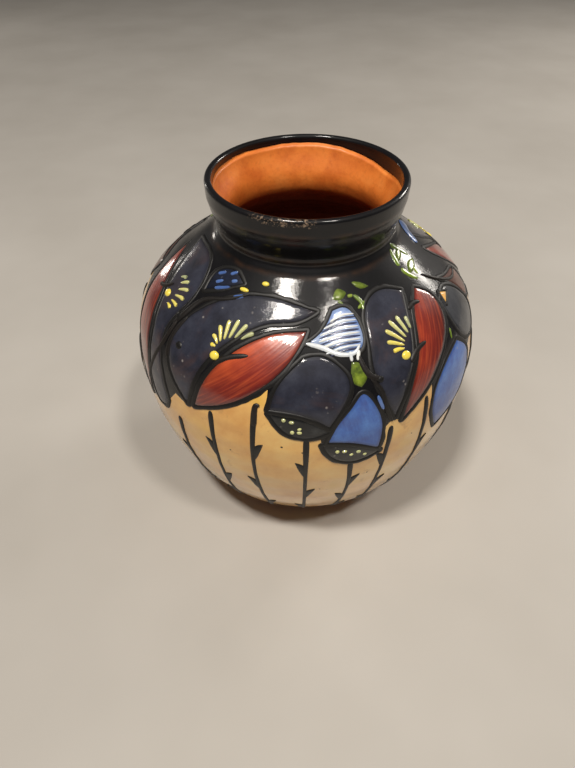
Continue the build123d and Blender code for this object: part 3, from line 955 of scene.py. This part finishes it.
# Where the stems start, the side of the first thorn, and how many thorns there are.
STEMS = (
    ((-43, 62), -1, 2),
    ((-30, 72), -1, 3),
    ((-16, 78), 1, 3),
    ((-1, 68.5), -1, 3),
    ((12.5, 55.5), 1, 3),
    ((24.5, 68), -1, 3),
    ((37.5, 73), 1, 2),
    ((55, 58), -1, 2),
    ((72, 77), 1, 3),
    ((90, 82), -1, 2),
    ((108, 74), 1, 3),
)
STEM_END = 10.0  # height where the stems run out


def slot_of(name):
    return next(slot for key, slot in SLOTS.items() if name.startswith(key))


def longest_axis(edges):
    """The two places of an outline that lie furthest apart."""
    places = [place for edge in edges for place in edge]
    flat = metric(spots(places), spots(places).mean(axis=0))
    gaps = np.linalg.norm(flat[:, None] - flat[None], axis=2)
    i, j = np.unravel_index(gaps.argmax(), gaps.shape)
    return (places[i], places[j]) if places[i][1] <= places[j][1] else (places[j], places[i])


def make_fields(spray, turn, seed):
    outlines = Trail()
    for index, (name, edges) in enumerate(FIELDS.items()):
        slot = slot_of(name)
        node = f"{spray}_{name}"
        pool(f"{node}_glaze", edges, slot, turn, longest_axis(edges), node, seed=seed + index)
        outlines.band(*outline(edges, turn), OUTLINE_WIDTH, SLIP, seed + index * 1.7)
    for index, edges in enumerate(LEAVES):
        nodes = [f"{spray}_green_leaves"] if index == 0 else []
        name = f"{spray}_leaf_{index + 1}"
        pool(name, edges, "green_glaze", turn, longest_axis(edges), *nodes, spacing=0.5)
    outlines.make(f"{spray}_slip_outlines", "black_slip")


def step_from(place, angle, distance):
    """The place so many mm away along the wall, at an angle in degrees: 0 is to the right and 90 is up."""
    azimuth, s = spots([place])[0]
    across = distance * cos(radians(angle)) / outer.at(s)[0]
    return np.degrees(azimuth + across), outer.at(s + distance * sin(radians(angle)))[1]


def make_stamens(spray, turn):
    for name, (dot, first, last, count) in FANS.items():
        fan = Trail()
        for index, (near_angle, far_angle, near, far) in enumerate(np.linspace(first, last, count)):
            share = index / (count - 1)
            bulge = FAN_BULGE * sin(pi * share)
            start = step_from(dot, near_angle, near - bulge / 4)
            end = step_from(dot, far_angle, far + bulge)
            middle = ((start[0] + end[0]) / 2, (start[1] + end[1]) / 2 + 0.2)
            tone = 0.95 - 0.75 * share
            fan.stroke([start, middle, end], (0.75, 1.15, 1.6), STAMEN, turn, FIELD, paint=tone, seed=index)
        fan.blob(dot, 3.1, 2.6, 0.62, turn, FIELD, paint=1.3)
        node = f"{spray}_{name}"
        fan.make(f"{node}_strokes", "stamen_glaze", node)


def stem_route(index, top):
    """Down the wall from a place, swaying about a degree to either side."""
    azimuth, height = top
    sway = 0.9 * sin(2.1 * index)
    middle = (height + STEM_END) / 2
    return [top, (azimuth + sway, middle + 8), (azimuth + sway / 2, middle - 8), (azimuth - sway, STEM_END)]


def make_stems(spray, turn, seed):
    trail = Trail()
    for index, (top, first_side, count) in enumerate(STEMS):
        route = stem_route(index, top)
        trail.stroke(route, (2.1, 1.25, 1.3, 1.5), STAMEN, turn, blunt=30, seed=seed + index)
        line = smooth_curve(route, 101)
        for k in range(count):
            side = first_side * (-1) ** k
            a, h = line[int(100 * (k + 0.85) / (count + 0.4))] + np.array([0, 2.5])
            per_mm = 57.3 / outer.at(outer.s_of(h))[0] * side
            thorn = [(a + across * per_mm, h + rise) for across, rise in THORN]
            trail.stroke(thorn, (0.9, 3.4, 1.2), 0.38, turn, seed=index, ends=(0.3, 0.2))
    node = f"{spray}_stems"
    trail.make(f"{node}_slip", "black_slip", node)


# Free brush and slip strokes of the spray, as (places, width, width at the far end).
SLIP_STROKES = (
    ([(-31.5, 85.5), (-28.5, 87.5), (-20.5, 89.5)], 1.9, 1.7),
    ([(33.5, 85), (37.5, 87), (42, 87.5)], 2.0, 1.5),
    ([(16, 90), (17, 87.5), (18.5, 85.5), (22, 84)], 1.7, 2.0),
    ([(-77, 90.5), (-73, 91.5), (-69, 93.5)], 2.0, 1.5),
    ([(-54, 88.5), (-52, 91.5), (-48.5, 95.5), (-40, 97.5), (-28.5, 100)], 2.2, 1.2),
    ([(-50, 80.5), (-51, 84), (-51, 87.5), (-49.5, 91.5)], 1.9, 1.7),
    ([(-60.5, 66), (-57, 76), (-54, 83.5), (-53, 90)], 1.3, 1.9),
    ([(-14.5, 78.5), (-15.5, 78.5), (-16, 77), (-16, 71.5)], 1.7, 1.8),
    ([(18.5, 84.5), (21, 82), (22.5, 76), (24.5, 70)], 1.2, 1.6),
    ([(42.5, 94.5), (46, 95), (50, 94.5)], 2.0, 1.5),
    ([(63, 97.5), (70, 94), (80, 90.5), (88, 90)], 1.4, 1.2),
)
SLIP_BLOBS = (((-46.5, 85.5), 2.9), ((-53.5, 90.5), 2.8), ((21.5, 84), 2.4))
KILN_SPECKS = (
    ((-8, 64.5), 0.8),
    ((-2, 62.5), 0.7),
    ((4, 40), 0.5),
    ((-24, 58), 0.6),
    ((19, 47), 0.6),
    ((33, 60), 0.5),
)
WHITE_STROKES = (
    ([(-1.5, 93), (5, 92), (8.5, 91), (11.5, 90.5), (14.5, 90.5), (17.5, 92)], 1.6, 1.2),
    ([(13.5, 91), (13.5, 89)], 1.2, 0.9),
    ([(16.5, 91), (15.5, 89)], 1.3, 0.9),
)
RIDGES = 6  # white ridges over the pale calyx, with a dark stripe under each
BLUE_STROKES = (
    ([(-50.5, 101), (-46.5, 102)], 1.3, 0.9),
    ([(-43.5, 102), (-40, 103)], 1.2, 0.9),
    ([(-48.5, 99.5), (-45, 100.5)], 1.3, 0.9),
    ([(-40.5, 101), (-37.5, 101.5)], 1.3, 0.9),
    ([(-47, 98.5), (-39.5, 100)], 1.3, 0.9),
    ([(-35.5, 98.5), (-30.5, 99.5)], 1.5, 1.1),
    ([(20, 80), (21.5, 75.5)], 1.1, 1.2),
)
BUDS = (([(84.5, 100), (91, 102.5), (101, 102.5)], 3.4, 4.0),)
GREEN_STROKES = (
    ([(13, 100), (15.5, 99)], 1.3, 0.9),
    ([(21, 100.5), (23.5, 99), (23, 97)], 1.5, 1.1),
    ([(25.5, 99), (21, 98)], 1.2, 0.9),
    ([(18, 100.5), (20.5, 100.5)], 1.2, 1.0),
    ([(60, 106), (63.5, 104.5), (67.5, 101.5)], 2.6, 1.7),
    ([(58.5, 105), (56, 103), (55, 101.5)], 1.6, 2.3),
    ([(54.5, 101), (56, 99.5), (59.5, 97.5)], 2.3, 1.6),
    ([(62.5, 99.5), (61.5, 98)], 1.4, 0.9),
    ([(55.5, 86), (54, 83.5)], 1.1, 0.7),
)
YELLOW_BLOBS = (((-32, 100.5), 3.0, 1.3), ((-22.5, 102.5), 2.2, 1.4))
# Rows of pale dots in the mouths of the two bells: from a place to a place, so many.
DOT_ROWS = (((-7.5, 75), (-3, 73), 3), ((-5, 71), (-3, 70.5), 2), ((8, 62.5), (16.5, 59.5), 5))
CREAM_PATCH = [[(63, 93), (67.5, 91.5)], [(67.5, 91.5), (61.5, 90)], [(61.5, 90), (63, 93)]]
BROWN_PATCH = [[(70, 94), (80, 92), (88, 89.5), (87, 84.5)], [(87, 84.5), (80, 84), (76.5, 89), (70, 94)]]


def calyx_line(k, first, last):
    """The k-th line from the top across the pale calyx, bowed upwards, and shorter at the top and bottom."""
    top = 97.4 - 1.1 * k
    left, right = 3 + 0.55 * (k - 3) ** 2, 18.8 - 0.12 * (k - 2) ** 2
    return [(left, top - 0.9), ((left + right) / 2, top), (right, top - 0.1)], first, last


def make_strokes(spray, turn):
    """The brush strokes and slip lines that finish the flowers."""
    ridges = tuple(calyx_line(k, 0.9, 0.6) for k in range(RIDGES))
    stripes = tuple(calyx_line(k + 0.5, 0.6, 0.8) for k in range(RIDGES))
    black, white, dark, blue, green, pale = (Trail() for _ in range(6))
    sets = (
        (black, SLIP_STROKES, 0.46, 0.2),
        (white, WHITE_STROKES + ridges, 0.30, FIELD),
        (dark, stripes, 0.16, FIELD),
        (blue, BLUE_STROKES, 0.30, FIELD),
        (green, GREEN_STROKES, 0.34, 0.05),
    )
    for trail, strokes, height, base in sets:
        strokes = strokes + BUDS if spray == "front" and trail is blue else strokes
        for index, (places, first, last) in enumerate(strokes):
            widths = np.linspace(first, last, len(places))
            trail.stroke(places, widths, height, turn, base, paint=0.35 + 0.1 * (index % 4), seed=index + 3)
    for place, size in SLIP_BLOBS:
        black.blob(place, size, size * 0.85, 0.5, turn, 0.2)
    for place, size in KILN_SPECKS:
        black.blob(place, size, size * 0.8, 0.12, turn)
    for place, length, width in YELLOW_BLOBS:
        pale.blob(place, length, width, 0.4, turn, FIELD, paint=1.2)
    for first, last, count in DOT_ROWS:
        for index, (a, h) in enumerate(np.linspace(first, last, count)):
            length, width, tilt = 1.3 + 0.3 * (index % 2), 1.3 - 0.2 * (index % 3), 0.3 * (index % 3 - 1)
            place = (a, h + 0.8 * sin(2.5 * index))
            pale.blob(place, length, width, 0.4, turn, FIELD, tilt, paint=0.35)
    for index, edges in enumerate((CREAM_PATCH, BROWN_PATCH)):
        black.band(*outline(edges, turn), 0.7 + 0.5 * index, SLIP + 0.2 * (1 - index), 60 + index)
    looks = (
        (black, "slip_hooks", "black_slip", "black_slip"),
        (white, "white_ridges", "pale_glaze", "white_paint"),
        (dark, "calyx_stripes", "dark_blue_glaze", "blue_paint"),
        (blue, "blue_strokes", "dark_blue_glaze", "light_blue_paint"),
        (green, "green_strokes", "green_glaze", "green_paint"),
        (pale, "pale_dots", "stamen_glaze", "stamen_glaze"),
    )
    for trail, name, slot, material in looks:
        paint(trail.make(f"{spray}_{name}", slot), MATERIALS[material])
    cream_axis, brown_axis = ((patch[0][0], patch[1][0]) for patch in (CREAM_PATCH, BROWN_PATCH))
    pool(f"{spray}_cream_patch", CREAM_PATCH, "cream_glaze", turn, cream_axis, height=0.55, spacing=0.4)
    patch = pool(f"{spray}_brown_patch", BROWN_PATCH, "red_glaze", turn, brown_axis, height=0.34, spacing=0.6)
    paint(patch, MATERIALS["brown_glaze"])


# ---- stage ----
def make_floor():
    reach, count = 1.6, 61
    line = np.linspace(-reach, reach, count)
    points = [(x, y, 0.0) for x in line for y in line]
    faces = [face[::-1] for face in grid_faces(count, count)]
    mesh = bpy.data.meshes.new("floor")
    mesh.from_pydata(points, [], faces)
    floor = bpy.data.objects.new("floor", mesh)
    bpy.context.scene.collection.objects.link(floor)
    m = Recipe("floor")
    colour = m.ramp(m.noise(90, 3), (0.3, (0.43, 0.405, 0.37)), (0.7, (0.48, 0.455, 0.42)))
    paint(floor, m.finish(colour, 0.6, coat=0.0, specular=0.3))


LAMP_COLOUR = (1, 0.94, 0.86)
LAMP_AIM = Vector((0, 0, 0.07))


def make_light(name, azimuth, elevation, distance, size, power):
    """A soft light of a width and a height, at an azimuth and elevation about the vase, in degrees."""
    a, e = radians(azimuth), radians(elevation)
    data = bpy.data.lights.new(name, "AREA")
    data.shape = "RECTANGLE"
    data.size, data.size_y = size
    data.energy = power
    data.color = LAMP_COLOUR
    lamp = bpy.data.objects.new(name, data)
    bpy.context.scene.collection.objects.link(lamp)
    away = Vector((sin(a) * cos(e), -cos(a) * cos(e), sin(e)))
    lamp.location = LAMP_AIM + away * distance
    lamp.rotation_euler = away.to_track_quat("Z", "Y").to_euler()


def make_world():
    world = bpy.data.worlds.new("studio")
    bpy.context.scene.world = world
    world.use_nodes = True
    back = world.node_tree.nodes["Background"]
    back.inputs["Color"].default_value = (1.0, 0.97, 0.93, 1)
    back.inputs["Strength"].default_value = 0.065
    bpy.context.scene.view_settings.view_transform = "Standard"


EYE = (-0.2075, -5.4901, 2.4324)  # from the middle of the lip, in lip radii
DIP, ROLL = 43.79, -0.42  # how far the camera looks down and leans, in degrees
LENS = 27.047  # mm, for a picture 36 mm tall


def make_camera():
    """The photograph's viewpoint: close above the rim, looking steeply down."""
    camera = bpy.data.objects.new("camera", bpy.data.cameras.new("camera"))
    bpy.context.scene.collection.objects.link(camera)
    camera.data.sensor_fit = "VERTICAL"
    camera.data.sensor_height = 36.0
    camera.data.lens = LENS
    camera.data.clip_start = 0.005
    eye = (Vector(EYE) * RIM + Vector((0, 0, LIP_HEIGHT))) * MM
    tilt = Matrix.Rotation(radians(90 - DIP), 4, "X")
    roll = Matrix.Rotation(radians(ROLL), 4, "Z")
    camera.matrix_world = Matrix.Translation(eye) @ tilt @ roll
    bpy.context.scene.camera = camera


make_clay()
make_lining()
make_black_coat()
make_cream_coat()
for spray, turn, seed in (("front", 0.0, 2), ("back", BACK_TURN, 40)):
    make_fields(spray, turn, seed)
    make_stamens(spray, turn)
    make_stems(spray, turn, seed)
    make_strokes(spray, turn)
make_floor()
make_world()
make_light("ceiling_left", -36, 68, 1.1, (0.16, 0.10), 10.0)
make_light("ceiling_right", 37, 63, 1.1, (0.12, 0.08), 5.0)
make_light("window_right", 127, 22, 1.0, (0.26, 0.10), 3.0)
make_light("window_left", -138, 4, 1.0, (0.05, 0.16), 0.4)
make_camera()
